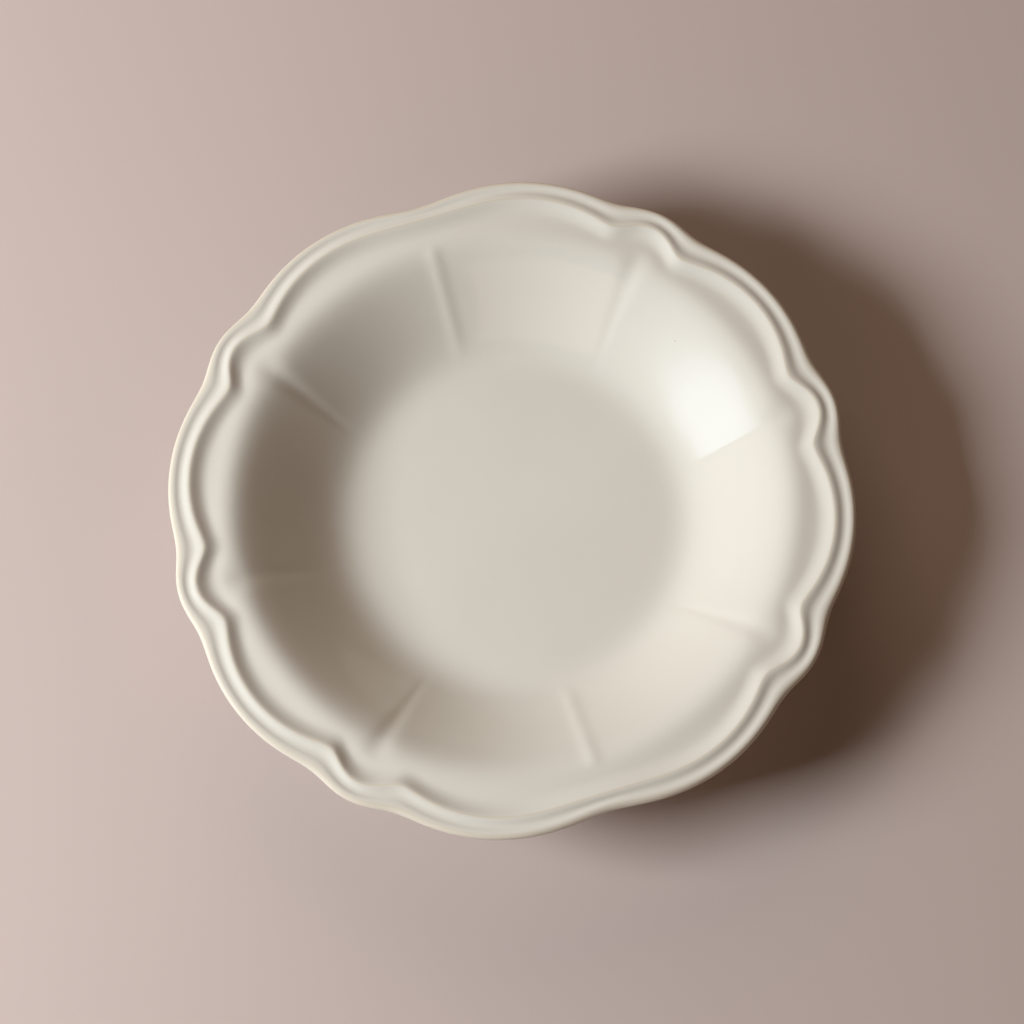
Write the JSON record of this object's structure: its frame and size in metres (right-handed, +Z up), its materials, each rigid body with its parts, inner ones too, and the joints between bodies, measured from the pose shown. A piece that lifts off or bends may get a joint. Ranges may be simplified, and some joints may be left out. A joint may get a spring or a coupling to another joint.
{
  "type": "soup plate",
  "caption": "Round glazed soup plate with a deep fluted well, a narrow flange and a scalloped rim with a moulded bead, standing on a bare foot ring.",
  "frame": {"origin": "centre of the foot ring, in the plane that the foot ring stands on", "axes": "+Z up along the plate's axis, +Y through one of the rim's two plain notches, +X across the widest part of the rim"},
  "size_m": [0.24, 0.2338, 0.038],
  "materials": {
    "fired_clay": "matt, bare and slightly sandy, wiped clean of glaze",
    "cream_glaze": "glossy warm white, thinner and tan on the crests of the rim",
    "panel_glaze": "glossy warm white with a few pinholes"
  },
  "bodies": {
    "root": {"clay_body": "fired_clay", "glaze_coat": "cream_glaze", "base_glaze": "panel_glaze"}
  },
  "joints": []
}
